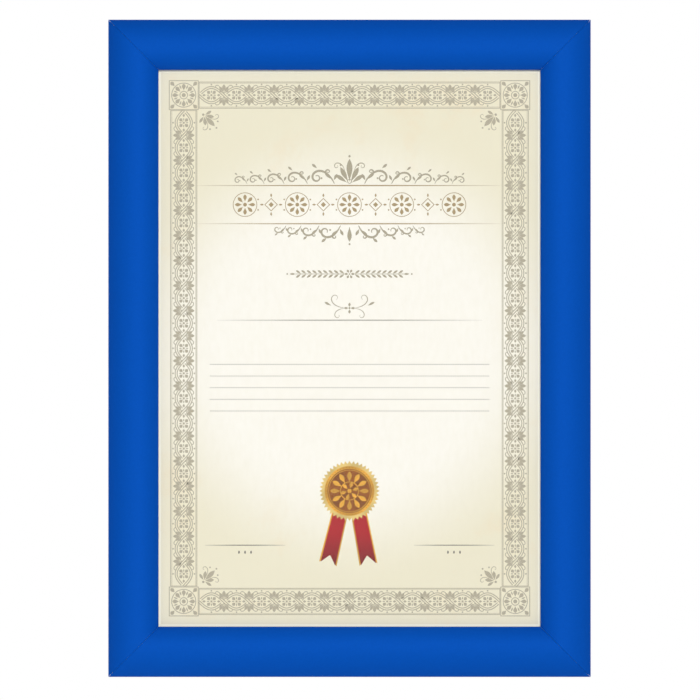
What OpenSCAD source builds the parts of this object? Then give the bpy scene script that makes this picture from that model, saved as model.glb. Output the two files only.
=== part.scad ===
// Snap frame for an A4 sheet, with mitred aluminium profiles.
// Seen from the front, X is to the right and Z is up. The wall is the plane Y = 0, and the frame faces -Y.
// A profile's section is drawn in u, inwards from the outer edge, and v, forwards from the wall.
// Along the profile runs w, from the middle of its length.

/* [Sheets] */
// Width of the sheet that the frame shows
insert_w = 210; // [160:1:420]
// Height of the sheet that the frame shows
insert_h = 297; // [210:1:594]
// Thickness of the printed sheet
print_t = 0.25; // [0.1:0.05:0.5]
// Thickness of the clear cover sheet
cover_t = 0.5; // [0.3:0.1:1]
// Thickness of the back panel
panel_t = 1; // [0.8:0.1:2]
// Radius of the back panel's and the cover sheet's corners
sheet_corner_r = 2; // [0.5:0.5:5]

/* [Front profile] */
// Visible width of the profile
profile_w = 25; // [24:0.5:32]
// Height of the crown above the wall
profile_depth = 12; // [11:0.5:14]
// Distance from the outer edge to the line of the crown
crown_in = 14.3; // [12:0.1:16]
// Height at which the outer wall turns into the shoulder
edge_h = 3.9; // [3.5:0.1:5]
// Height at which the crown turns down into the inner wall
lip_h = 6.1; // [5.5:0.1:7]
// Radius of the shoulder along the outer edge
shoulder_r = 3; // [2:0.1:4]
// Radius along the inner edge
tip_r = 0.8; // [0.5:0.1:1.5]
// Thickness of the front profile's wall
wall_t = 1.3; // [1:0.1:1.6]
// Width of the foot that presses on the sheets
foot_w = 2.4; // [2:0.1:4]
// Height of that foot
foot_t = 1.2; // [0.8:0.1:1.5]

/* [Hinge] */
// Radius of the bead that the front profile turns on
bead_r = 1; // [0.8:0.05:1.2]
// Running clearance between bead and socket
hinge_play = 0.05; // [0.03:0.01:0.1]
// Thickness of the socket's wall
socket_t = 1.15; // [1:0.05:1.4]
// Thickness of the arm that carries the bead
arm_t = 1; // [0.8:0.05:1.2]
// Slope of the arm, down from the bead
arm_slope = 42; // [38:1:46]
// How far the front profile turns open
open_angle = 85; // [60:5:90]
// Clearance between the arm and the socket's ends at both limits
arm_play = 0.12; // [0.1:0.01:0.2]
// Clearance between the turning socket and the wall
wall_play = 0.15; // [0.1:0.05:0.4]

/* [Base profile] */
// Thickness of the floor
base_t = 1; // [0.8:0.1:1.4]
// Thickness of the upright webs
web_t = 0.9; // [0.7:0.1:1]
// Gap between the turning socket and the nearest web
swing_gap = 0.6; // [0.4:0.1:0.8]
// Width of the channel that holds the corner keys
channel_w = 6.2; // [5.6:0.1:7]
// How far the floor stops short of the front profile's inner edge
floor_setback = 1.6; // [1:0.1:3]
// Width of the ledge over the back panel
ledge_w = 1.6; // [1:0.1:1.8]
// Thickness of that ledge
ledge_t = 0.9; // [0.9:0.1:1.4]
// Clearance beside the sheets' edges
sheet_side_play = 0.4; // [0.2:0.1:0.5]
// Clearance between one sheet and the next
sheet_play = 0.05; // [0.03:0.01:0.1]
// Height of the underside of the hook that holds the springs
hook_h = 7.5; // [7:0.1:8]
// Thickness of that hook
hook_t = 0.8; // [0.5:0.1:1]
// Reach of that hook
hook_reach = 0.8; // [0.5:0.1:1.2]
// Slope of the hook's underside, which follows the bent leaf
hook_slope = 20; // [15:1:25]
// Radius on the base profile's edges and roots
edge_r = 0.2; // [0.1:0.05:0.25]

/* [Mitres] */
// Clearance between a front rail's mitred end and the plane of the mitre
mitre_play = 0.05; // [0.03:0.01:0.2]
// Clearance between a base rail's mitred end and the plane of the mitre, where the corner keys draw the rails together
butt_play = 0.01; // [0.01:0.01:0.1]

/* [Corner keys] */
// Thickness of a key
key_t = 1.6; // [1.2:0.1:2]
// Length of each leg past the inner corner
key_leg = 30; // [20:1:36]
// Clearance between a key and the channel's walls
key_play = 0.1; // [0.05:0.05:0.2]
// Overhang of the lips that hold a key down
key_lip = 0.7; // [0.5:0.1:1]
// Thickness of those lips
key_lip_t = 0.7; // [0.5:0.1:0.9]
// Radius on a key's corners
key_corner_r = 0.8; // [0.3:0.1:1.5]

/* [Grub screws] */
// Diameter of a grub screw
grub_d = 3; // [2.5:0.1:4]
// Length of a grub screw
grub_l = 3.5; // [3:0.1:5]
// Width across the flats of its hexagon socket
grub_hex = 1.5; // [1.3:0.1:1.8]
// Depth of that socket
grub_hex_depth = 1.4; // [0.8:0.1:2]
// Clearance in the key's thread
thread_play = 0.05; // [0.03:0.01:0.1]
// Distance from a leg's end to the grub screw
grub_from_end = 9; // [5:1:14]

/* [Springs] */
// Thickness of the spring leaf
spring_t = 0.4; // [0.3:0.05:0.5]
// Length of a spring along the profile
spring_w = 20; // [12:1:30]
// Distance from the middle of a profile to the middle of each spring
spring_from_mid = 60; // [30:5:65]
// Rise of the bent leaf over the line between its ends
spring_rise = 2; // [1.6:0.1:2.2]
// Clearance between a spring's ends and their seats
spring_play = 0.08; // [0.05:0.01:0.15]
// Depth of the seat cut in the socket for the springs
notch_depth = 0.45; // [0.3:0.05:0.6]
// Angle round the socket that the seat takes
notch_angle = 50; // [40:5:70]

/* [Wall fixing] */
// Diameter of a screw hole
fix_d = 3.5; // [3:0.1:4.5]
// Distance from the frame's top and bottom edges to the screw holes
fix_from_end = 50; // [48:1:70]
// Diameter of the bore through the lips for the screw's head
fix_head_d = 6.8; // [6:0.1:7]

/* [Hidden] */
frame_blue = [0.03, 0.32, 0.72];
base_blue = [0.02, 0.26, 0.62];
key_steel = [0.72, 0.74, 0.76];
screw_steel = [0.30, 0.31, 0.33];
spring_steel = [0.50, 0.52, 0.56];
panel_white = [0.93, 0.93, 0.92];
paper_cream = [0.96, 0.94, 0.86];
cover_clear = [0.90, 0.94, 0.96, 0.35];

SIDES = ["top", "bottom", "left", "right"];
CORNERS = ["top_left", "top_right", "bottom_left", "bottom_right"];

// Hinge axis, with the socket tangent to the outer wall
socket_r = bead_r + hinge_play + socket_t;
hinge_u = socket_r;
hinge_v = socket_r + wall_play;
hinge = [hinge_u, hinge_v, 0];

// Places across the base profile, from the outer edge inwards
channel_out = hinge_u + socket_r + swing_gap + web_t;
channel_in = channel_out + channel_w;
channel_mid = (channel_out + channel_in) / 2;
web_in = channel_in + web_t;
ledge_in = web_in + ledge_w;
insert_u = ledge_in + sheet_side_play;
panel_in = web_in + sheet_side_play;
floor_in = profile_w - floor_setback;

outer_w = insert_w + 2 * insert_u;
outer_h = insert_h + 2 * insert_u;

// Heights in the stack of sheets
panel_v = base_t + sheet_play;
print_v = panel_v + panel_t + sheet_play;
cover_v = print_v + print_t + sheet_play;
foot_v = cover_v + cover_t + sheet_play;

// Heights in the base profile
ledge_v = panel_v + panel_t + sheet_play;
key_v = base_t + key_play / 2;
key_lip_v = base_t + key_t + key_play;

// Crown arcs, tangent to each other at the crown and to the arcs along both edges
shoulder_c = [shoulder_r, edge_h];
tip_c = [profile_w - tip_r, lip_h];
outer_crown_r = crown_radius(crown_in - shoulder_r, profile_depth - edge_h, shoulder_r);
inner_crown_r = crown_radius(tip_c[0] - crown_in, profile_depth - lip_h, tip_r);
outer_crown_c = [crown_in, profile_depth - outer_crown_r];
inner_crown_c = [crown_in, profile_depth - inner_crown_r];
shoulder_angle = bearing(shoulder_c - outer_crown_c);
tip_angle = bearing(tip_c - inner_crown_c);
inner_wall_angle = acos((profile_w - wall_t - crown_in) / (inner_crown_r - wall_t));

// Spring seats: on the socket's notch and in the corner under the hook
notch_r = socket_r - notch_depth;
seat_gap = spring_t / 2 + spring_play;
spring_foot = [hinge_u + notch_r + seat_gap, hinge_v + spring_play];
spring_head = [channel_in - spring_play, hook_h - seat_gap];

key_out = channel_out + key_play;
key_in = channel_in - key_play;
key_end = key_in + key_leg;

// Radius of the floor's nose, as a share of the floor's thickness
nose_share = 0.4;
overrun = wall_t / 2;
reach = 2 * profile_w;
corner_steps = 3;
arc_step = 2;
leaf_steps = 16;

// Radius of an arc that is level at its crown and tangent to an edge arc of radius r,
// whose centre lies across and down from the crown
function crown_radius(across, down, r) = (across * across + down * down - r * r) / (2 * (down - r));

function bearing(d) = atan2(d[1], d[0]);
function unit(d) = d / norm(d);
function polar(r, angle) = [r * cos(angle), r * sin(angle)];

// Points on an arc, about one every arc_step degrees
function arc(centre, r, from, to) =
    let (steps = max(corner_steps, round(abs(to - from) / arc_step)))
    [for (i = [0:steps]) centre + polar(r, from + (to - from) * i / steps)];

// The arc that replaces the corner b of the path a, b, c
function round_corner(a, b, c, r) =
    r == 0 ? [b] :
    let (
        to_a = unit(a - b),
        to_c = unit(c - b),
        half = acos(to_a * to_c) / 2,
        centre = b + unit(to_a + to_c) * r / sin(half),
        from = bearing(b + to_a * r / tan(half) - centre),
        turn = bearing(b + to_c * r / tan(half) - centre) - from,
        sweep = turn > 180 ? turn - 360 : turn < -180 ? turn + 360 : turn
    )
    [for (i = [0:corner_steps]) centre + polar(r, from + sweep * i / corner_steps)];

// A closed outline of points [u, v, radius], each rounded by its own radius
function rounded(path) =
    let (n = len(path), p = [for (q = path) [q[0], q[1]]])
    [for (i = [0:n - 1]) each round_corner(p[(i + n - 1) % n], p[i], p[(i + 1) % n], path[i][2])];

function rectangle(w, h, r) =
    rounded([[-w / 2, -h / 2, r], [w / 2, -h / 2, r], [w / 2, h / 2, r], [-w / 2, h / 2, r]]);

function is_upright(side) = side == "left" || side == "right";
function length_of(side) = is_upright(side) ? outer_h : outer_w;
function turn_of(side) = side == "bottom" ? 0 : side == "left" ? 90 : side == "top" ? 180 : 270;

// Puts a profile drawn in u, v, w at its side of the frame
module at_side(side) {
    rotate([0, turn_of(side), 0])
        translate([0, 0, (is_upright(side) ? -outer_w : -outer_h) / 2])
            rotate([180, -90, 0])
                children();
}

// Puts a flat piece drawn at the lower left corner at any corner
module at_corner(corner) {
    mirror([corner == "top_right" || corner == "bottom_right" ? 1 : 0, 0, 0])
        mirror([0, 0, corner == "top_left" || corner == "top_right" ? 1 : 0])
            translate([-outer_w / 2, 0, -outer_h / 2])
                children();
}

// Lays an outline drawn in X and Z on a plane at height v, with thickness t
module sheet_at(v, t) {
    translate([0, -v, 0])
        rotate([90, 0, 0])
            linear_extrude(t)
                children();
}

// The space between the two mitre planes of a profile
module mitre_space(length, play) {
    half = length / 2 - play * sqrt(2);
    rotate([90, 0, 0])
        linear_extrude(2 * reach, center = true)
            polygon([[-reach, half + reach], [reach, half - reach], [reach, reach - half], [-reach, -half - reach]]);
}

// Front profile: a shell of even thickness under two crown arcs, open towards the base
module shell_section() {
    polygon(concat(
        [[0, hinge_v]],
        arc(shoulder_c, shoulder_r, 180, shoulder_angle),
        arc(outer_crown_c, outer_crown_r, shoulder_angle, 90),
        arc(inner_crown_c, inner_crown_r, 90, tip_angle),
        arc(tip_c, tip_r, tip_angle, 0),
        round_corner([profile_w, lip_h], [profile_w, foot_v], [profile_w - foot_w, foot_v], edge_r),
        round_corner([profile_w, foot_v], [profile_w - foot_w, foot_v], [profile_w - foot_w, lip_h], edge_r),
        [[profile_w - foot_w, foot_v + foot_t], [profile_w - wall_t, foot_v + foot_t]],
        arc(inner_crown_c, inner_crown_r - wall_t, inner_wall_angle, 90),
        arc(outer_crown_c, outer_crown_r - wall_t, 90, shoulder_angle),
        arc(shoulder_c, shoulder_r - wall_t, shoulder_angle, 180),
        [[wall_t, hinge_v]]
    ));
}

// What the arm sweeps past the socket, from shut to open
module arm_sweep() {
    half = arm_t / 2 + arm_play;
    shut = -arm_slope;
    open = -arm_slope - open_angle;
    far = 2 * socket_r;
    polygon([
        polar(half, shut + 90),
        polar(half, shut + 90) + polar(far, shut),
        polar(far, shut) + polar(far, open),
        polar(half, open - 90) + polar(far, open),
        polar(half, open - 90)
    ]);
}

// Seat for the springs on the socket's inner side, with a step under it
module spring_notch() {
    difference() {
        polygon([[0, 0], [2 * socket_r, 0], polar(2 * socket_r, notch_angle)]);
        circle(notch_r, $fn = 96);
    }
}

module snap_profile(length) {
    difference() {
        union() {
            linear_extrude(length, center = true)
                shell_section();
            translate(hinge)
                cylinder(h = length, r = socket_r, center = true, $fn = 96);
        }
        translate(hinge) {
            cylinder(h = length + overrun, r = bead_r + hinge_play, center = true, $fn = 96);
            linear_extrude(length + overrun, center = true)
                arm_sweep();
            linear_extrude(length + overrun, center = true)
                spring_notch();
        }
    }
}

// The ends are mitred twice, for the shut place and for the open one, so neighbours clear each other throughout
module snap_rail(side) {
    color(frame_blue)
        at_side(side)
            intersection() {
                snap_profile(length_of(side));
                mitre_space(length_of(side), mitre_play);
                translate(hinge)
                    rotate([0, 0, -open_angle])
                        translate(-hinge)
                            mitre_space(length_of(side), mitre_play);
            }
}

// Where the upper (1) or lower (-1) face of the bead's arm is at height v
function arm_u(v, face) = hinge_u + (hinge_v - v) / tan(arm_slope) + face * arm_t / 2 / sin(arm_slope);

// Base profile: floor, arm, key channel with its lips, spring hook and ledge, all in one outline
module base_section() {
    across = polar(arm_t / 2, 90 - arm_slope);
    lip_top = key_lip_v + key_lip_t;
    nose_r = base_t * nose_share;
    polygon(rounded([
        [hinge_u - across[0], hinge_v - across[1], 0],
        [arm_u(0, -1), 0, 0],
        [floor_in, 0, nose_r],
        [floor_in, base_t, nose_r],
        [web_in, base_t, edge_r],
        [web_in, ledge_v, edge_r],
        [ledge_in, ledge_v, edge_r],
        [ledge_in, ledge_v + ledge_t, edge_r],
        [web_in, ledge_v + ledge_t, edge_r],
        [web_in, hook_h + hook_t, edge_r],
        [channel_in - hook_reach, hook_h + hook_t, edge_r],
        [channel_in - hook_reach, hook_h + hook_reach * tan(hook_slope), edge_r / 2],
        [channel_in, hook_h, 0],
        [channel_in, lip_top, edge_r],
        [channel_in - key_lip, lip_top, edge_r],
        [channel_in - key_lip, key_lip_v, edge_r],
        [channel_in, key_lip_v, 0],
        [channel_in, base_t, 0],
        [channel_out, base_t, 0],
        [channel_out, key_lip_v, 0],
        [channel_out + key_lip, key_lip_v, edge_r],
        [channel_out + key_lip, lip_top, edge_r],
        [channel_out - web_t, lip_top, edge_r],
        [channel_out - web_t, base_t, edge_r],
        [arm_u(base_t, 1), base_t, 0],
        [hinge_u + across[0], hinge_v + across[1], 0]
    ]));
}

module base_profile(length) {
    linear_extrude(length, center = true)
        base_section();
    translate(hinge)
        cylinder(h = length, r = bead_r, center = true, $fn = 96);
}

// Screw hole through the floor, with a wider bore through the lips for the screw's head
module fixing_hole(w) {
    translate([channel_mid, -overrun, w])
        rotate([-90, 0, 0])
            cylinder(h = base_t + 2 * overrun, d = fix_d, $fn = 64);
    translate([channel_mid, base_t, w])
        rotate([-90, 0, 0])
            cylinder(h = profile_depth, d = fix_head_d, $fn = 64);
}

module base_rail(side) {
    fix_w = length_of(side) / 2 - fix_from_end;
    color(base_blue)
        at_side(side)
            difference() {
                intersection() {
                    base_profile(length_of(side));
                    mitre_space(length_of(side), butt_play);
                }
                if (is_upright(side))
                    for (w = [-fix_w, fix_w])
                        fixing_hole(w);
            }
}

// Places of the two grub screws on a key, in X and Z from the frame's corner
grub_places = [[key_end - grub_from_end, channel_mid], [channel_mid, key_end - grub_from_end]];

module corner_key(corner) {
    color(key_steel)
        at_corner(corner)
            sheet_at(key_v, key_t)
                difference() {
                    polygon(rounded([
                        [key_out, key_out, key_corner_r],
                        [key_end, key_out, key_corner_r],
                        [key_end, key_in, key_corner_r],
                        [key_in, key_in, key_play],
                        [key_in, key_end, key_corner_r],
                        [key_out, key_end, key_corner_r]
                    ]));
                    for (p = grub_places)
                        translate(p)
                            circle(d = grub_d, $fn = 64);
                }
}

module grub_screw() {
    difference() {
        cylinder(h = grub_l, d = grub_d - 2 * thread_play, $fn = 64);
        translate([0, 0, grub_l - grub_hex_depth])
            cylinder(h = grub_hex_depth + overrun, d = grub_hex / cos(30), $fn = 6);
    }
}

module grub_screws() {
    color(screw_steel)
        for (corner = CORNERS, p = grub_places)
            at_corner(corner)
                translate([p[0], -base_t, p[1]])
                    rotate([90, 0, 0])
                        grub_screw();
}

// Leaf bent to an arc between its two seats
module spring_section() {
    chord = spring_head - spring_foot;
    span = norm(chord);
    r = (span * span / 4 + spring_rise * spring_rise) / (2 * spring_rise);
    half = asin(span / 2 / r);
    upright = bearing(chord) + 90;
    centre = (spring_foot + spring_head) / 2 - polar(r - spring_rise, upright);
    angles = [for (i = [0:leaf_steps]) upright + half - 2 * half * i / leaf_steps];
    polygon(concat(
        [for (a = angles) centre + polar(r + spring_t / 2, a)],
        [for (i = [leaf_steps:-1:0]) centre + polar(r - spring_t / 2, angles[i])]
    ));
}

module leaf_spring(side, place) {
    color(spring_steel)
        at_side(side)
            translate([0, 0, place * spring_from_mid])
                linear_extrude(spring_w, center = true)
                    spring_section();
}

module back_panel() {
    color(panel_white)
        sheet_at(panel_v, panel_t)
            polygon(rectangle(outer_w - 2 * panel_in, outer_h - 2 * panel_in, sheet_corner_r));
}

module print_sheet() {
    color(paper_cream)
        sheet_at(print_v, print_t)
            square([insert_w, insert_h], center = true);
}

module cover_sheet() {
    color(cover_clear)
        sheet_at(cover_v, cover_t)
            polygon(rectangle(insert_w, insert_h, sheet_corner_r));
}

for (s = SIDES) {
    base_rail(s);
    snap_rail(s);
    leaf_spring(s, -1);
    leaf_spring(s, 1);
}
for (c = CORNERS)
    corner_key(c);
grub_screws();
back_panel();
print_sheet();
cover_sheet();
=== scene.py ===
"""Looks of a wall-mounted A4 snap frame: blue mitred rails, a printed form and a clear cover sheet.

Metres throughout, X to the right, Z up, and the front faces -Y.
Places on the print are in millimetres from its middle.
"""

import math

import bmesh
import bpy
import numpy as np
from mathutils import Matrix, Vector


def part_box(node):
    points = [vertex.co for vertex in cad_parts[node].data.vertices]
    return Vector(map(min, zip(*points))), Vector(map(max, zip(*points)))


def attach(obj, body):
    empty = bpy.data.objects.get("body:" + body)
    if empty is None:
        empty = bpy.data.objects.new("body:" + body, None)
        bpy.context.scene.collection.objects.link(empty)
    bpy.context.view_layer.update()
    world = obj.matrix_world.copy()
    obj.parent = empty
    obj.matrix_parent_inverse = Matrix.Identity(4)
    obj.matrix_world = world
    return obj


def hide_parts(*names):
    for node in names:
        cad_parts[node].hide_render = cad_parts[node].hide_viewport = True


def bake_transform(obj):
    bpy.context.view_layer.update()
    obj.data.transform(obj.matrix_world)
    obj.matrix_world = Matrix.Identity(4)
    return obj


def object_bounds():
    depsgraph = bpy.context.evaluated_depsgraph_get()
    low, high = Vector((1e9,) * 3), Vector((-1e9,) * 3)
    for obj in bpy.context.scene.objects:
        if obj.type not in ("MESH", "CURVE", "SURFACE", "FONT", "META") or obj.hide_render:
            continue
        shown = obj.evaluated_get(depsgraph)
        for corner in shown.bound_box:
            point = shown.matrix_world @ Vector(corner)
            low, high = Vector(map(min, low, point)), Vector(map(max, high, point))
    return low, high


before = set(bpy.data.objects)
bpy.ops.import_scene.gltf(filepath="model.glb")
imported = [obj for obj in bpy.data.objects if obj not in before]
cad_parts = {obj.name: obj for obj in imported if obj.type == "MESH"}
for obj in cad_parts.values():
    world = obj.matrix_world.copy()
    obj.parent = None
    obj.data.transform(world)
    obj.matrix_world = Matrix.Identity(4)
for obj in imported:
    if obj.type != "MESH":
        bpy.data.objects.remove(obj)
cad_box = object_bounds()

MM = 0.001
SIDES = ("top", "bottom", "left", "right")

# Photograph
IMAGE_PX = 700
FRAME_MIDDLE_PX = (349.5, 348.3)
PX_PER_MM = 2.011

# Print, in millimetres, apart from the counts of the seal's teeth and the ink's steps
WINDOW_HALF_W = 95.0
WINDOW_HALF_H = 138.5
BARE_MARGIN = 1.2
VIGNETTE = (64.0, 118.0)
BAND_INSET = 6.0
BAND_W = 13.0
CORNER_BLOCK = 15.0
PLAIT_LENGTH = 12.5
PLAIT_SWING = 3.8
STRAND_GAP = 1.0
STRAND_W = 0.46
RULE_Z = (81.0, 62.0)
RULE_HALF_W = 76.0
ROW_STEP = 13.0
LAUREL_Z = 37.0
LAUREL_REACH = 27.0
NAME_Z = 14.0
NAME_HALF_W = 66.0
DOTTED_Z = (-8.0, -13.8, -19.6, -25.4, -31.2)
DOTTED_HALF_W = 69.0
DOTTED_STEP = 1.15
DOTTED_R = 0.29
SIGN_Z = -98.0
SIGN_X = (32.0, 72.0)
SEAL_AT = (0.0, -71.0)
SEAL_R = 15.0
SEAL_TEETH = 44
TAIL_END = -106.0
INK_LAYER = 0.008
INK_SUNK = 0.01
INK_STEP = 0.0005
INK_STEPS = 13

# Meshes: distances in metres at which points are joined, and angles up to which facets become one surface
WELD = 1e-6
INK_WELD = 1e-7
RAIL_SMOOTH_DEG = 20
SMALL_SMOOTH_DEG = 30
FLAT_DEG = 0.5

# Colours, written as sRGB from 0 to 255
POWDER_BLUE = (4, 80, 180)
BARE_ALUMINIUM = (205, 208, 212)
ZINC = (176, 182, 190)
BLACK_OXIDE = (70, 70, 76)
SPRING_STEEL = (182, 188, 198)
PANEL_WHITE = (236, 236, 233)
PAPER_MIDDLE = (254, 251, 241)
PAPER_FIELD = (239, 233, 207)
PAPER_MARGIN = (255, 251, 228)
PAPER_STAIN = (240, 224, 192)
BORDER_TAUPE = (178, 170, 148)
SCROLL_TAUPE = (168, 160, 138)
HEADING_BROWN = (166, 146, 108)
WRITING_GREY = (118, 114, 104)
GOLD_PALE = (234, 204, 124)
GOLD = (216, 160, 52)
GOLD_DEEP = (152, 84, 12)
RIBBON_RED = (178, 10, 24)
RIBBON_DARK = (108, 6, 12)

# Finishes, with the bumps' distances in metres
COAT_METALLIC = 0.18
COAT_ROUGHNESS = (0.62, 0.74)
COAT_SPECULAR = 0.03
CUT_METALLIC = 0.9
CUT_SPECULAR = 0.5
CUT_SMOOTHER = 0.3
CUT_FACE_NORMAL = 0.4
METAL_METALLIC = 0.95
METAL_UNEVEN = 0.07
ZINC_ROUGHNESS = (0.3, 0.48)
COVER_ROUGHNESS = (0.04, 0.08)
COVER_ALPHA = 0.012
PEEL_BUMP = 0.0002
FINE_BUMP = 0.0001


def linear(srgb, alpha=1.0):
    """The scene's linear colour of an sRGB one."""
    channels = [c / 255 for c in srgb]
    return tuple(c / 12.92 if c <= 0.04045 else ((c + 0.055) / 1.055) ** 2.4 for c in channels) + (alpha,)


def shade(srgb, share):
    """A colour with each channel made darker or lighter by a share."""
    return tuple(min(255, c * share) for c in srgb)


def add_object(name, data):
    """A new object in the scene, made of this mesh, lamp or camera."""
    thing = bpy.data.objects.new(name, data)
    bpy.context.scene.collection.objects.link(thing)
    return thing


# Materials

def new_material(name):
    """A node material, its tree, and its Principled shader."""
    material = bpy.data.materials.new(name)
    material.use_nodes = True
    tree = material.node_tree
    return material, tree, tree.nodes["Principled BSDF"]


def feed(tree, node, inputs):
    """Gives a node its inputs, each a value or a socket to link to."""
    for key, value in inputs.items():
        if isinstance(value, bpy.types.NodeSocket):
            tree.links.new(value, node.inputs[key])
        else:
            node.inputs[key].default_value = value


def put(tree, kind, inputs=None, **settings):
    """A new node with its settings and inputs."""
    node = tree.nodes.new(kind)
    for key, value in settings.items():
        setattr(node, key, value)
    feed(tree, node, inputs or {})
    return node


def place_in(tree, kind="Object"):
    """Where a shaded point is in its object's own space, or the normal there."""
    return put(tree, "ShaderNodeTexCoord").outputs[kind]


def noise(tree, scale, detail=3.0, stretch=(1, 1, 1), roughness=0.5):
    """Noise in the object's own space, made finer along an axis by its number in stretch."""
    where = put(tree, "ShaderNodeMapping", {"Vector": place_in(tree), "Scale": stretch})
    inputs = {"Vector": where.outputs[0], "Scale": scale, "Detail": detail, "Roughness": roughness}
    return put(tree, "ShaderNodeTexNoise", inputs).outputs["Fac"]


def math_node(tree, operation, a, b=0.0):
    """The result of one operation on a and b, each a socket or a number."""
    return put(tree, "ShaderNodeMath", {0: a, 1: b}, operation=operation).outputs[0]


def spread(tree, value, low, high, from_low=0.0, from_high=1.0):
    """Maps a value from one range to another."""
    inputs = {"Value": value, "From Min": from_low, "From Max": from_high, "To Min": low, "To Max": high}
    return put(tree, "ShaderNodeMapRange", inputs).outputs[0]


def mix_colour(tree, share, a, b):
    """Colour a where share is 0 and colour b where it is 1. Each may be a socket or a value."""
    return put(tree, "ShaderNodeMix", {0: share, 6: a, 7: b}, data_type="RGBA").outputs[2]


def bumps(tree, height, strength, distance):
    """The normal of a surface with the bumps of a height socket."""
    inputs = {"Height": height, "Strength": strength, "Distance": distance}
    return put(tree, "ShaderNodeBump", inputs).outputs[0]


def powder_coat(name, along):
    """Satin powder coat with its fine orange peel, and bare metal with saw marks on the cut ends.
    along is the axis that the profile runs on, 0 for X and 2 for Z."""
    material, tree, shader = new_material(name)
    normal = put(tree, "ShaderNodeSeparateXYZ", {"Vector": place_in(tree, "Normal")}).outputs[along]
    cut = math_node(tree, "GREATER_THAN", math_node(tree, "ABSOLUTE", normal), CUT_FACE_NORMAL)
    mottle = spread(tree, noise(tree, 900, detail=2), 0.0, 0.1, 0.35, 0.65)
    paint = mix_colour(tree, mottle, linear(POWDER_BLUE), linear(shade(POWDER_BLUE, 0.8)))
    saw = noise(tree, 700, detail=3, stretch=(1, 14, 1))
    metal = mix_colour(tree, saw, linear(shade(BARE_ALUMINIUM, 0.8)), linear(BARE_ALUMINIUM))
    satin = spread(tree, noise(tree, 2200, detail=2), *COAT_ROUGHNESS)
    kept = math_node(tree, "SUBTRACT", 1.0, math_node(tree, "MULTIPLY", cut, CUT_SMOOTHER))
    feed(tree, shader, {
        "Base Color": mix_colour(tree, cut, paint, metal),
        "Metallic": spread(tree, cut, COAT_METALLIC, CUT_METALLIC),
        "Roughness": math_node(tree, "MULTIPLY", satin, kept),
        "Specular IOR Level": spread(tree, cut, COAT_SPECULAR, CUT_SPECULAR),
        "Normal": bumps(tree, noise(tree, 2600, detail=1), 0.06, PEEL_BUMP),
    })
    return material


def plain_metal(name, colour, roughness, scale, stretch, bump):
    """Bare metal with streaks or a grain of the given scale."""
    material, tree, shader = new_material(name)
    grain = noise(tree, scale, detail=4, stretch=stretch)
    feed(tree, shader, {
        "Base Color": mix_colour(tree, grain, linear(shade(colour, 0.82)), linear(colour)),
        "Metallic": METAL_METALLIC,
        "Roughness": spread(tree, grain, roughness - METAL_UNEVEN, roughness + METAL_UNEVEN),
        "Normal": bumps(tree, grain, bump, FINE_BUMP),
    })
    return material


def zinc_plate(name):
    """Zinc with its crystals."""
    material, tree, shader = new_material(name)
    crystals = put(tree, "ShaderNodeTexVoronoi", {"Vector": place_in(tree), "Scale": 700.0}).outputs["Color"]
    share = put(tree, "ShaderNodeSeparateColor", {"Color": crystals}).outputs[0]
    feed(tree, shader, {
        "Base Color": mix_colour(tree, share, linear(shade(ZINC, 0.86)), linear(ZINC)),
        "Metallic": METAL_METALLIC,
        "Roughness": spread(tree, share, *ZINC_ROUGHNESS),
    })
    return material


def sheet_plastic(name):
    """Matt white sheet with the faint grain of its rollers."""
    material, tree, shader = new_material(name)
    grain = noise(tree, 1500, detail=3, stretch=(1, 1, 0.4))
    feed(tree, shader, {
        "Base Color": mix_colour(tree, grain, linear(shade(PANEL_WHITE, 0.985)), linear(PANEL_WHITE)),
        "Roughness": 0.55,
        "Specular IOR Level": 0.3,
        "Normal": bumps(tree, grain, 0.1, FINE_BUMP),
    })
    return material


def certificate_paper(name):
    """Cream paper, nearly white round its middle, with fibres, faint stains of age and a bare margin."""
    material, tree, shader = new_material(name)
    xyz = put(tree, "ShaderNodeSeparateXYZ", {"Vector": place_in(tree)})
    reach = put(tree, "ShaderNodeVectorMath", {0: place_in(tree)}, operation="LENGTH").outputs["Value"]
    inputs = {"Value": reach, "From Min": VIGNETTE[0] * MM, "From Max": VIGNETTE[1] * MM}
    vignette = put(tree, "ShaderNodeMapRange", inputs, interpolation_type="SMOOTHSTEP").outputs[0]
    field = mix_colour(tree, vignette, linear(PAPER_MIDDLE), linear(PAPER_FIELD))
    fibres = noise(tree, 420, detail=5, stretch=(1, 1, 0.35), roughness=0.65)
    fibre_share = spread(tree, fibres, 0.0, 0.16, 0.4, 0.8)
    field = mix_colour(tree, fibre_share, field, linear(shade(PAPER_FIELD, 0.95)))
    age = spread(tree, noise(tree, 21, detail=6, roughness=0.72), 0.0, 0.6, 0.54, 0.72)
    field = mix_colour(tree, math_node(tree, "MULTIPLY", age, vignette), field, linear(PAPER_STAIN))
    beyond = []
    for axis, half in ((0, WINDOW_HALF_W), (2, WINDOW_HALF_H)):
        away = math_node(tree, "ABSOLUTE", xyz.outputs[axis])
        beyond.append(math_node(tree, "GREATER_THAN", away, (half - BARE_MARGIN) * MM))
    edge = math_node(tree, "MAXIMUM", *beyond)
    feed(tree, shader, {
        "Base Color": mix_colour(tree, edge, field, linear(PAPER_MARGIN)),
        "Roughness": 0.85,
        "Specular IOR Level": 0.05,
        "Normal": bumps(tree, fibres, 0.08, FINE_BUMP),
    })
    return material


def ink(name, colour):
    """Printing ink, slightly uneven where the paper's tooth shows through."""
    material, tree, shader = new_material(name)
    tooth = spread(tree, noise(tree, 1600, detail=3), 0.0, 0.12, 0.3, 0.7)
    uneven = mix_colour(tree, tooth, linear(colour), linear(shade(colour, 1.2)))
    feed(tree, shader, {"Base Color": uneven, "Roughness": 0.6, "Specular IOR Level": 0.15})
    return material


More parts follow.
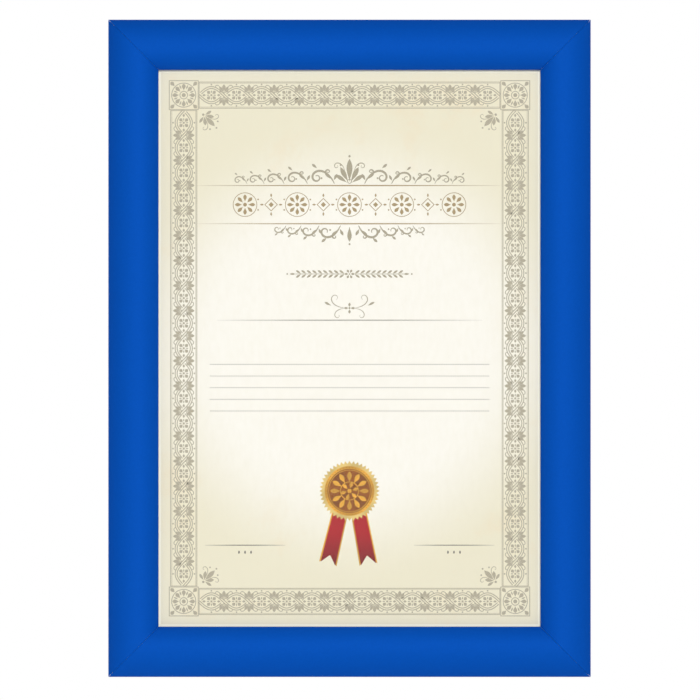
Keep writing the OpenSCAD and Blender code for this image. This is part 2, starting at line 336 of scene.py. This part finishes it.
def sheen_ink(name, light, dark, middle, rays, turn=0.0):
    """Ink printed with the light and dark rays of a pressed metal disc round its middle."""
    material, tree, shader = new_material(name)
    inputs = {0: place_in(tree), 1: (middle[0] * MM, 0, middle[1] * MM)}
    place = put(tree, "ShaderNodeVectorMath", inputs, operation="SUBTRACT")
    xyz = put(tree, "ShaderNodeSeparateXYZ", {"Vector": place.outputs[0]})
    angle = math_node(tree, "ARCTAN2", xyz.outputs[0], xyz.outputs[2])
    wave = math_node(tree, "SINE", math_node(tree, "MULTIPLY", math_node(tree, "ADD", angle, turn), rays))
    grain = spread(tree, noise(tree, 900, detail=3), 0.0, 0.25, 0.3, 0.7)
    share = math_node(tree, "ADD", spread(tree, wave, 0.0, 0.75, -1.0, 1.0), grain)
    rayed = mix_colour(tree, share, linear(light), linear(dark))
    feed(tree, shader, {"Base Color": rayed, "Roughness": 0.5, "Specular IOR Level": 0.2})
    return material


def ribbon_ink(name, top, bottom):
    """Red ink that darkens towards both ends of the printed ribbon and along its fine weave."""
    material, tree, shader = new_material(name)
    xyz = put(tree, "ShaderNodeSeparateXYZ", {"Vector": place_in(tree)})
    middle = (top + bottom) / 2 * MM
    half = (top - bottom) / 2 * MM
    from_middle = math_node(tree, "ABSOLUTE", math_node(tree, "SUBTRACT", xyz.outputs[2], middle))
    away = spread(tree, math_node(tree, "DIVIDE", from_middle, half), 0.0, 0.75, 0.2, 1.0)
    weave = spread(tree, noise(tree, 1400, detail=2, stretch=(3, 1, 0.5)), 0.0, 0.25, 0.3, 0.7)
    share = math_node(tree, "ADD", away, weave)
    red = mix_colour(tree, share, linear(RIBBON_RED), linear(RIBBON_DARK))
    feed(tree, shader, {"Base Color": red, "Roughness": 0.5, "Specular IOR Level": 0.2})
    return material


def clear_sheet(name):
    """Clear plastic, which shows only in what little it mirrors."""
    material, tree, shader = new_material(name)
    feed(tree, shader, {
        "Base Color": (1, 1, 1, 1),
        "Metallic": 1.0,
        "Roughness": spread(tree, noise(tree, 30, detail=2), *COVER_ROUGHNESS),
        "Alpha": COVER_ALPHA,
    })
    return material


MATERIALS = {
    "rail_x": powder_coat("powder_blue_level", 0),
    "rail_z": powder_coat("powder_blue_upright", 2),
    "key": zinc_plate("zinc_plate"),
    "screw": plain_metal("black_oxide", BLACK_OXIDE, 0.42, 1200, (1, 1, 1), 0.2),
    "spring": plain_metal("spring_steel", SPRING_STEEL, 0.5, 500, (1, 8, 8), 0.1),
    "panel": sheet_plastic("white_sheet"),
    "paper": certificate_paper("certificate_paper"),
    "cover": clear_sheet("clear_sheet"),
    "border_ink": ink("border_ink", BORDER_TAUPE),
    "scroll_ink": ink("scroll_ink", SCROLL_TAUPE),
    "heading_ink": ink("heading_ink", HEADING_BROWN),
    "writing_ink": ink("writing_ink", WRITING_GREY),
    "seal_edge": sheen_ink("seal_edge", GOLD_PALE, shade(GOLD_PALE, 0.86), SEAL_AT, 6),
    "seal_gold": sheen_ink("seal_gold", shade(GOLD, 1.12), shade(GOLD, 0.88), SEAL_AT, 4, 0.4),
    "seal_brown": sheen_ink("seal_brown", GOLD_DEEP, shade(GOLD_DEEP, 0.8), SEAL_AT, 4, 1.1),
    "ribbon_ink": ribbon_ink("ribbon_ink", SEAL_AT[1], TAIL_END),
}


def dress(node, key, smooth_deg=None):
    """Gives a CAD node its material and, on curved pieces, smooth shading between its facets."""
    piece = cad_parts[node]
    piece.data.materials.clear()
    piece.data.materials.append(MATERIALS[key])
    for polygon in piece.data.polygons:
        polygon.material_index = 0
    if smooth_deg:
        smooth(piece, smooth_deg)


def smooth(piece, degrees):
    """Joins the facets of a mesh and shades them as one surface where they meet at a small angle."""
    if "custom_normal" in piece.data.attributes:
        piece.data.attributes.remove(piece.data.attributes["custom_normal"])
    piece.modifiers.new("weld", "WELD").merge_threshold = WELD
    piece.data.shade_smooth()
    split = piece.modifiers.new("edges", "EDGE_SPLIT")
    split.split_angle = math.radians(degrees)
    split.use_edge_sharp = False


for side in SIDES:
    coat = "rail_z" if side in ("left", "right") else "rail_x"
    dress(f"snap_rail_{side}", coat, RAIL_SMOOTH_DEG)
    dress(f"base_rail_{side}", coat, RAIL_SMOOTH_DEG)
for corner in ("top_left", "top_right", "bottom_left", "bottom_right"):
    dress(f"corner_key_{corner}", "key")
dress("grub_screws", "screw", SMALL_SMOOTH_DEG)
dress("back_panel", "panel")
dress("print_sheet", "paper")
dress("cover_sheet", "cover")


# Springs: smoothed, unbent copies of the leaves, which in the frame bend between the base's hook and their
# seat in the front rail as it turns


def bending_spring(side, place):
    """The CAD leaf with its facets joined and smoothed, in spring steel, in place of the CAD node, which is
    hidden.
    """
    node = f"spring_{side}_{place}"
    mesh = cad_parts[node].data.copy()
    work = bmesh.new()
    work.from_mesh(mesh)
    bmesh.ops.remove_doubles(work, verts=work.verts, dist=WELD)
    bmesh.ops.dissolve_limit(work, angle_limit=math.radians(FLAT_DEG), verts=work.verts, edges=work.edges)
    work.to_mesh(mesh)
    work.free()
    piece = add_object(f"{node}_leaf", mesh)
    smooth(piece, SMALL_SMOOTH_DEG)
    mesh.materials.clear()
    mesh.materials.append(MATERIALS["spring"])
    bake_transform(piece)
    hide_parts(node)


for side in SIDES:
    for place in (1, 2):
        bending_spring(side, place)


# Printing: a shape is one outline, or the two edges of a band, as x and z from the print's middle

def pen(path, width, ends=1.0):
    """The band that a pen draws along a path. It narrows to ends times its width at both ends."""
    path = np.asarray(path, float)
    along = np.gradient(path, axis=0)
    along /= np.linalg.norm(along, axis=1)[:, None]
    aside = np.column_stack([-along[:, 1], along[:, 0]])
    share = np.linspace(-1, 1, len(path))[:, None]
    half = width / 2 * (ends + (1 - ends) * np.cos(share * math.pi / 2))
    return [path + aside * half, path - aside * half]


def curl(start, heading, length, bend, last_bend, points=18):
    """A path that sets out at a heading in degrees and bends more and more, in degrees a millimetre."""
    share = (np.arange(points - 1) + 0.5) / (points - 1)
    turn = np.radians(heading + length * (bend * share + (last_bend - bend) * share ** 3 / 3))
    steps = np.column_stack([np.cos(turn), np.sin(turn)]) * length / (points - 1)
    return np.vstack([start, np.asarray(start) + np.cumsum(steps, axis=0)])


def turning(degrees):
    """The matrix that turns rows of points anticlockwise."""
    cosine, sine = math.cos(math.radians(degrees)), math.sin(math.radians(degrees))
    return np.array([[cosine, sine], [-sine, cosine]])


def leaf(base, heading, length, width, fullest=0.5, points=8):
    """A pointed leaf or petal from its base, widest at the share fullest of its length."""
    share = np.linspace(0, 1, points)
    half = width / 2 * np.sin(np.pi * share ** (math.log(0.5) / math.log(fullest)))
    near = np.column_stack([share * length, half])
    far = np.column_stack([share * length, -half])[-2:0:-1]
    return [np.vstack([near, far]) @ turning(heading) + np.asarray(base)]


def circle(at, radius, points):
    """The corners of a regular polygon that stands for a circle."""
    turn = np.arange(points) * 2 * math.pi / points
    return np.column_stack([at[0] + radius * np.cos(turn), at[1] + radius * np.sin(turn)])


def dot(at, radius, points=10):
    """A filled circle."""
    return [circle(at, radius, points)]


def hoop(at, radius, width, points=40):
    """A circular band of the given width."""
    edges = [circle(at, radius + side * width / 2, points) for side in (1, -1)]
    return [np.vstack([edge, edge[:1]]) for edge in edges]


def petals(at, count, inner, length, width, fullest=0.6, turn=0.0):
    """A ring of petals that point away from its middle."""
    shapes = []
    for k in range(count):
        heading = turn + k * 360 / count
        angle = math.radians(heading)
        base = (at[0] + inner * math.cos(angle), at[1] + inner * math.sin(angle))
        shapes.append(leaf(base, heading, length, width, fullest))
    return shapes


def frame_rule(half_w, half_h, width):
    """A plain rule round a rectangle."""
    corners = np.array([(-1, -1), (1, -1), (1, 1), (-1, 1), (-1, -1)], float)
    return [corners * (half_w + side * width / 2, half_h + side * width / 2) for side in (1, -1)]


def moved(shapes, to=(0, 0), turn=0.0, flip=False, size=1.0):
    """Copies of shapes: flipped left to right, turned by degrees, scaled, and moved."""
    matrix = np.diag([-1.0 if flip else 1.0, 1.0]) @ turning(turn) * size
    return [[line @ matrix + np.asarray(to) for line in shape] for shape in shapes]


def stretched(shapes, across, up):
    """Copies of shapes, scaled across and up. A scale of -1 mirrors them."""
    return [[line * (across, up) for line in shape] for shape in shapes]


def mirrored(shapes):
    """Shapes and their mirror image on the other side of the upright middle line."""
    return shapes + moved(shapes, flip=True)


paper_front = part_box("print_sheet")[0].y


def printed(name, key, layer, shapes):
    """A piece of thin ink in these shapes. Layer 0 lies on the paper, and each next one over the last.
    Within a layer the shapes take turns at a few depths a hair apart, so that those drawn one after another
    don't share a plane where they cross."""
    back = paper_front + INK_SUNK * MM
    points, faces = [], []
    for index, shape in enumerate(shapes):
        front = paper_front - ((layer + 1) * INK_LAYER - index % INK_STEPS * INK_STEP) * MM
        first = len(points)
        for y in (front, back):
            points += [(x * MM, y, z * MM) for line in shape for x, z in line]
        count = len(shape[0])
        if len(shape) == 1:
            around = [(first + i, first + (i + 1) % count) for i in range(count)]
            faces += [[a for a, _ in around], [a + count for a, _ in reversed(around)]]
            faces += [(a, b, b + count, a + count) for a, b in around]
            continue
        # The same point of a band's first and second edge, in front and then at the back
        for i in range(first, first + count - 1):
            a, b, c, d = i, i + count, i + 2 * count, i + 3 * count
            faces += [(a, a + 1, b + 1, b), (c, d, d + 1, c + 1)]
            faces += [(a, c, c + 1, a + 1), (b, b + 1, d + 1, d)]
        closed = np.allclose(shape[0][0], shape[0][-1], rtol=0, atol=1e-9)
        if not closed:
            faces += [(i, i + count, i + 3 * count, i + 2 * count) for i in (first, first + count - 1)]
    mesh = bpy.data.meshes.new(name)
    mesh.from_pydata(points, [], faces)
    work = bmesh.new()
    work.from_mesh(mesh)
    bmesh.ops.remove_doubles(work, verts=work.verts, dist=INK_WELD)
    bmesh.ops.recalc_face_normals(work, faces=work.faces)
    work.to_mesh(mesh)
    work.free()
    mesh.materials.append(MATERIALS[key])
    piece = add_object(name, mesh)
    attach(piece, "base")


def plait():
    """One length of the border's plait of two double strands between crossings, with a flower in its eye."""
    shapes = []
    for side, start, end in ((1, STRAND_GAP, PLAIT_LENGTH), (-1, 0.0, PLAIT_LENGTH - STRAND_GAP)):
        along = np.linspace(start, end, 14)
        slope = side * PLAIT_SWING * math.pi / PLAIT_LENGTH * np.cos(math.pi * along / PLAIT_LENGTH)
        aside = np.column_stack([-slope, np.ones_like(slope)]) / np.sqrt(1 + slope ** 2)[:, None]
        path = np.column_stack([along, side * PLAIT_SWING * np.sin(math.pi * along / PLAIT_LENGTH)])
        shapes += [pen(path + aside * offset, STRAND_W) for offset in (-0.5, 0.5)]
    eye = (PLAIT_LENGTH / 2, 0.0)
    shapes += petals(eye, 4, 0.7, 2.2, 1.7, 0.62, 45) + petals(eye, 4, 0.9, 1.5, 0.6, 0.5)
    shapes.append(dot(eye, 0.55))
    for side in (1, -1):
        shapes.append(leaf((eye[0] + side * 2.8, 0), 90 - side * 90, 1.7, 1.1))
        shapes.append(dot((eye[0], side * (PLAIT_SWING + 1.5)), 0.42, 8))
    return shapes


def palmette():
    """The ornament in the hollow over a crossing of the plait."""
    half = [
        leaf((0.15, 1.55), 52, 3.5, 1.35, 0.6),
        leaf((0.3, 1.4), 18, 2.3, 0.8, 0.55),
        pen(curl((1.5, 3.2), 62, 4.8, -8, -150, 12), 0.42, 0.5),
    ]
    return mirrored(half) + [leaf((0, 1.5), 90, 3.9, 1.7, 0.62), dot((0, 1.15), 0.4, 8)]


def border_side(length, count):
    """A side of the border: its plait and the ornaments on both sides of it, with its middle at (0, 0)."""
    step = length / count
    one = stretched(plait(), step / PLAIT_LENGTH, 1)
    shapes = []
    for k in range(count):
        shapes += moved(one, (k * step - length / 2, 0))
    for k in range(1, count):
        crossing = (k * step - length / 2, 0)
        shapes += moved(palmette(), crossing) + moved(palmette(), crossing, 180)
    for end in (-1, 1):
        shapes.append(pen([(end * (length / 2 - 0.2), z) for z in (-BAND_W / 2, BAND_W / 2)], 0.3))
    return shapes


def corner_block():
    """The square with a rosette in each corner of the border, with its middle at (0, 0)."""
    half = CORNER_BLOCK / 2 - 0.3
    shapes = [frame_rule(half, half, 0.4), hoop((0, 0), 6.0, 0.4), hoop((0, 0), 1.9, 0.4, 24)]
    shapes += petals((0, 0), 8, 2.3, 3.4, 2.0, 0.64) + petals((0, 0), 8, 3.2, 2.3, 0.7, 0.5, 22.5)
    shapes += petals((0, 0), 4, 6.4, 2.9, 1.9, 0.6, 45) + [dot((0, 0), 1.0, 14)]
    return shapes


def corner_sprig():
    """The sprig of leaves inside each corner, growing upwards from (0, 0)."""
    half = [
        leaf((0.2, 0.4), 52, 4.4, 1.7, 0.6),
        leaf((0.5, 0.2), 12, 3.6, 1.3, 0.6),
        pen(curl((1.0, 2.6), 70, 7.5, -6, -110, 16), 0.36, 0.5),
        dot((2.6, 6.6), 0.42),
    ]
    return mirrored(half) + [leaf((0, 0.6), 90, 6.6, 2.2, 0.58), dot((0, -0.5), 0.6), dot((0, 8.3), 0.45)]


def border():
    """The ornamental border: four plaits, a rosette in each corner, and a sprig of leaves inside each."""
    middle_x = WINDOW_HALF_W - BAND_INSET - BAND_W / 2
    middle_z = WINDOW_HALF_H - BAND_INSET - BAND_W / 2
    long_x = 2 * middle_x - CORNER_BLOCK
    long_z = 2 * middle_z - CORNER_BLOCK
    level = border_side(long_x, round(long_x / PLAIT_LENGTH))
    upright = border_side(long_z, round(long_z / PLAIT_LENGTH))
    shapes = moved(level, (0, middle_z)) + moved(level, (0, -middle_z), 180)
    shapes += moved(upright, (middle_x, 0), 90) + moved(upright, (-middle_x, 0), 270)
    for half, width in ((BAND_W / 2, 0.4), (BAND_W / 2 - 0.6, 0.2)):
        for side in (1, -1):
            x, z = middle_x + side * half, middle_z + side * half
            level_rule = [pen([(-long_x / 2, z), (long_x / 2, z)], width)]
            shapes += level_rule + stretched(level_rule, 1, -1)
            upright_rule = [pen([(x, -long_z / 2), (x, long_z / 2)], width)]
            shapes += upright_rule + stretched(upright_rule, -1, 1)
    inner = CORNER_BLOCK / 2 + 2.6
    for x, z, turn in ((-1, 1, 225), (1, 1, 135), (1, -1, 45), (-1, -1, 315)):
        shapes += moved(corner_block(), (x * middle_x, z * middle_z))
        shapes += moved(corner_sprig(), (x * (middle_x - inner), z * (middle_z - inner)), turn, size=1.05)
    return shapes


def running_scroll(start, count, shrink, length):
    """Scrolls that spring from one another to the right along a line, each smaller than the last."""
    shapes, x, size = [], start[0], 1.0
    for _ in range(count):
        scroll = [
            pen(curl((0, 0), 66, length, -3.4, -52, 30), 1.1, 0.35),
            pen(curl((0.9, 2.4), 20, length * 0.42, 4, 120, 18), 0.8, 0.4),
            leaf((0.4, 1.6), 118, 3.8, 1.4, 0.6),
            leaf((length * 0.36, length * 0.32), 40, 3.4, 1.3, 0.6),
            dot((length * 0.27, length * 0.115), 0.5),
        ]
        shapes += moved(scroll, (x, start[1]), size=size)
        x += length * 0.56 * size
        size *= shrink
    return shapes


def heading_scrolls():
    """The ornaments over and under the two heading rules."""
    half = [
        leaf((0.5, 0.4), 62, 8.6, 2.4, 0.62),
        leaf((1.0, 0.2), 34, 7.2, 2.0, 0.62),
        pen(curl((2.4, 6.4), 74, 11, -7, -95, 22), 0.5, 0.3),
        dot((4.4, 9.0), 0.5),
    ]
    crown = mirrored(half)
    crown += [leaf((0, 0.6), 90, 11.6, 3.0, 0.6), dot((0, 13.4), 0.6), hoop((0, 0.9), 1.0, 0.35, 18)]
    upper = moved(crown, (0, RULE_Z[0] + 1.2))
    upper += mirrored(running_scroll((7.5, RULE_Z[0] + 0.9), 5, 0.86, 24))
    lower = stretched(mirrored(running_scroll((4.5, -RULE_Z[1] + 0.9), 4, 0.84, 19)), 1, -1)
    lower += moved([leaf((0, 0.6), 90, 7.6, 2.2, 0.6), dot((0, 9.4), 0.5)], (0, RULE_Z[1] - 0.8), 180)
    return upper + lower


def heading_row():
    """The two heading rules and the row of rosettes and diamonds between them."""
    shapes = [pen([(x, z) for x in np.linspace(-RULE_HALF_W, RULE_HALF_W, 25)], 0.62, 0.05) for z in RULE_Z]
    middle = (RULE_Z[0] + RULE_Z[1]) / 2
    for k in range(-4, 5):
        at = (k * ROW_STEP, middle)
        if k % 2:
            shapes += [hoop(at, 3.1, 0.5, 4), dot(at, 1.3, 4)] + petals(at, 4, 3.7, 1.9, 0.9, 0.5)
        else:
            shapes += petals(at, 8, 1.5, 3.6, 1.7, 0.62) + [dot(at, 0.95, 14), hoop(at, 5.9, 0.34)]
        if k < 4:
            shapes += [dot((at[0] + ROW_STEP / 2, middle + dz), 0.42, 8) for dz in (-2.6, 2.6)]
    return shapes


def laurel():
    """A level band of small leaves in pairs that point away from a flower in its middle."""
    half = [pen([(2.0, 0), (LAUREL_REACH, 0)], 0.3)]
    for k in range(9):
        x = 2.6 + 2.7 * k
        half += [leaf((x, side * 0.15), side * 34, 3.0, 1.05, 0.58) for side in (1, -1)]
    half += [leaf((LAUREL_REACH, 0), 0, 2.8, 1.0, 0.5), dot((LAUREL_REACH + 4, 0), 0.45, 8)]
    flower = petals((0, 0), 6, 0.55, 1.9, 1.15, 0.6) + [dot((0, 0), 0.4)]
    return moved(mirrored(half) + flower, (0, LAUREL_Z))


def writing():
    """Rules and dotted lines to be filled in."""
    shapes = [pen([(x, NAME_Z) for x in np.linspace(-NAME_HALF_W, NAME_HALF_W, 17)], 0.42, 0.1)]
    sign_middle = (SIGN_X[0] + SIGN_X[1]) / 2
    for side in (-1, 1):
        path = [(x, SIGN_Z) for x in np.linspace(side * SIGN_X[0], side * SIGN_X[1], 9)]
        shapes.append(pen(path, 0.45, 0.2))
        shapes += [leaf((side * (sign_middle + 3 * k), SIGN_Z - 4.4), 90, 1.8, 0.9) for k in (-1, 0, 1)]
    for z in DOTTED_Z:
        places = np.arange(-DOTTED_HALF_W, DOTTED_HALF_W + 0.1, DOTTED_STEP)
        shapes += [dot((x, z), DOTTED_R, 6) for x in places]
    return shapes


def name_ornament():
    """The small flourish over the name's rule."""
    half = [
        pen(curl((2.2, 0), 8, 15, 2.5, 62, 22), 0.45, 0.3),
        pen(curl((2.2, 0), -8, 11, -3, -80, 20), 0.4, 0.3),
        leaf((9, 1.2), 28, 4, 1.1, 0.6),
    ]
    flower = petals((0, 0), 4, 0.5, 2.2, 1.2, 0.6) + [dot((0, 0), 0.5)]
    return moved(mirrored(half) + flower, (0, NAME_Z + 6))


def seal():
    """The printed seal's shapes: its toothed edge, its gold disc, its brown field and its star."""
    turn = np.arange(2 * SEAL_TEETH) * math.pi / SEAL_TEETH
    radius = np.where(np.arange(2 * SEAL_TEETH) % 2, SEAL_R - 1.5, SEAL_R)
    edge = [[np.column_stack([radius * np.sin(turn), radius * np.cos(turn)])]]
    gold = [[circle((0, 0), SEAL_R - 2.6, 64)]]
    brown = [[circle((0, 0), SEAL_R - 4.0, 64)]]
    brown += [dot(at, 0.24, 6) for at in circle((0, 0), SEAL_R - 3.3, 48)]
    star = petals((0, 0), 12, 4.4, 5.4, 2.3, 0.6) + petals((0, 0), 6, 1.4, 3.2, 1.8, 0.6, 15)
    star += [hoop((0, 0), 4.5, 0.4, 36), hoop((0, 0), 10.4, 0.3, 48), dot((0, 0), 1.1, 16)]
    return [moved(shapes, SEAL_AT) for shapes in (edge, gold, brown, star)]


def ribbon_tails():
    """The thin gold edges of the two notched tails that hang from the seal, and the tails."""
    tail = np.array([(-4.0, 0), (-4.8, -28), (-0.2, -23.6), (4.2, -28.4), (3.8, 0)])
    inner = tail * (0.84, 0.985) + (0, -0.2)
    top = SEAL_AT[1] - 9
    pairs = []
    for outline in (tail, inner):
        pairs.append(moved([[outline]], (-4.2, top), -13) + moved([[outline]], (4.4, top), 11))
    return pairs


seal_edge, seal_gold, seal_brown, seal_star = seal()
tail_edges, tails = ribbon_tails()
printed("print_border", "border_ink", 0, border())
printed("print_scrolls", "scroll_ink", 0, heading_scrolls() + laurel() + name_ornament())
printed("print_heading", "heading_ink", 0, heading_row())
printed("print_writing_lines", "writing_ink", 0, writing())
printed("print_ribbon_edges", "seal_gold", 0, tail_edges)
printed("print_ribbon", "ribbon_ink", 1, tails)
printed("print_seal_edge", "seal_edge", 2, seal_edge)
printed("print_seal_gold", "seal_gold", 3, seal_gold)
printed("print_seal_brown", "seal_brown", 4, seal_brown)
printed("print_seal_star", "seal_gold", 5, seal_star)


# Camera: straight in front, with a long lens
EYE_DISTANCE = 4.0
SENSOR_MM = 36.0


def metres(px):
    """What a number of the photograph's pixels measures on the frame."""
    return px / PX_PER_MM * MM


eye = bpy.data.cameras.new("eye")
eye.sensor_width = SENSOR_MM
eye.lens = SENSOR_MM * EYE_DISTANCE / metres(IMAGE_PX)
eye_object = add_object("eye", eye)
eye_x = metres(IMAGE_PX / 2 - FRAME_MIDDLE_PX[0])
eye_z = metres(FRAME_MIDDLE_PX[1] - IMAGE_PX / 2)
front_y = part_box("snap_rail_left")[0].y
eye_object.location = (eye_x, front_y / 2 - EYE_DISTANCE, eye_z)
eye_object.rotation_euler = (math.pi / 2, 0, 0)
bpy.context.scene.camera = eye_object


# Light and stage, with lengths in metres and the lamps' power in watts
WORLD_LIGHT = 0.2
KEY_TURN = math.radians(4.5)
KEY_RISE = math.radians(13)
KEY_AWAY = 3.4
KEY_SIZE = (0.7, 0.7)
KEY_POWER = 77
FILL_AT = (-0.8, 1.6, 0.7)
FILL_SIZE = (1.2, 1.2)
FILL_POWER = 30
FLOOR_DROP = 0.06
FLOOR_HALF_W = 1.5
FLOOR_FRONT = -1.5
FLOOR_BACK = 1.1
FLOOR_COLOUR = (0.88, 0.88, 0.87, 1)
FLOOR_ROUGHNESS = 0.9
FLOOR_GLOW = (0.34, 0.9)
FLOOR_FADE = (0.35, 1.0)


def area_light(name, place, size, power):
    """A rectangular lamp that faces the frame's middle."""
    data = bpy.data.lights.new(name, "AREA")
    data.shape = "RECTANGLE"
    data.size, data.size_y = size
    data.energy = power
    lamp = add_object(name, data)
    lamp.location = place
    lamp.rotation_euler = (Vector((0, 0, 0)) - Vector(place)).to_track_quat("-Z", "Y").to_euler()


def white_for_eye(tree, dim):
    """Strength 1 for what the camera sees, also through clear things and in metal, and dim for lighting."""
    path = put(tree, "ShaderNodeLightPath")
    seen = math_node(tree, "MAXIMUM", path.outputs["Is Camera Ray"], path.outputs["Is Transmission Ray"])
    seen = math_node(tree, "MAXIMUM", seen, path.outputs["Is Glossy Ray"])
    return spread(tree, seen, dim, 1.0)


def floor_paint(name):
    """Pale floor that the camera and metal see glow, more and more with the distance from the frame."""
    material, tree, shader = new_material(name)
    path = put(tree, "ShaderNodeLightPath")
    seen = math_node(tree, "MAXIMUM", path.outputs["Is Camera Ray"], path.outputs["Is Glossy Ray"])
    reach = put(tree, "ShaderNodeVectorMath", {0: place_in(tree)}, operation="LENGTH").outputs["Value"]
    glow = spread(tree, reach, *FLOOR_GLOW, *FLOOR_FADE)
    feed(tree, shader, {
        "Base Color": FLOOR_COLOUR,
        "Roughness": FLOOR_ROUGHNESS,
        "Emission Color": (1, 1, 1, 1),
        "Emission Strength": math_node(tree, "MULTIPLY", seen, glow),
    })
    return material


world = bpy.data.worlds.new("studio")
bpy.context.scene.world = world
world.use_nodes = True
background = world.node_tree.nodes["Background"]
room_light = white_for_eye(world.node_tree, WORLD_LIGHT)
feed(world.node_tree, background, {"Color": (1, 1, 1, 1), "Strength": room_light})

key_ahead = KEY_AWAY * math.cos(KEY_RISE)
key_at = (key_ahead * math.sin(KEY_TURN), -key_ahead * math.cos(KEY_TURN), KEY_AWAY * math.sin(KEY_RISE))
area_light("key", key_at, KEY_SIZE, KEY_POWER)
area_light("back_fill", FILL_AT, FILL_SIZE, FILL_POWER)

floor_z = cad_box[0].z - FLOOR_DROP
floor_corners = [
    (-FLOOR_HALF_W, FLOOR_FRONT, floor_z),
    (FLOOR_HALF_W, FLOOR_FRONT, floor_z),
    (FLOOR_HALF_W, FLOOR_BACK, floor_z),
    (-FLOOR_HALF_W, FLOOR_BACK, floor_z),
]
floor_mesh = bpy.data.meshes.new("floor")
floor_mesh.from_pydata(floor_corners, [], [(0, 1, 2, 3)])
floor_mesh.materials.append(floor_paint("floor_pale"))
floor = add_object("floor", floor_mesh)

scene = bpy.context.scene
scene.view_settings.view_transform = "Standard"
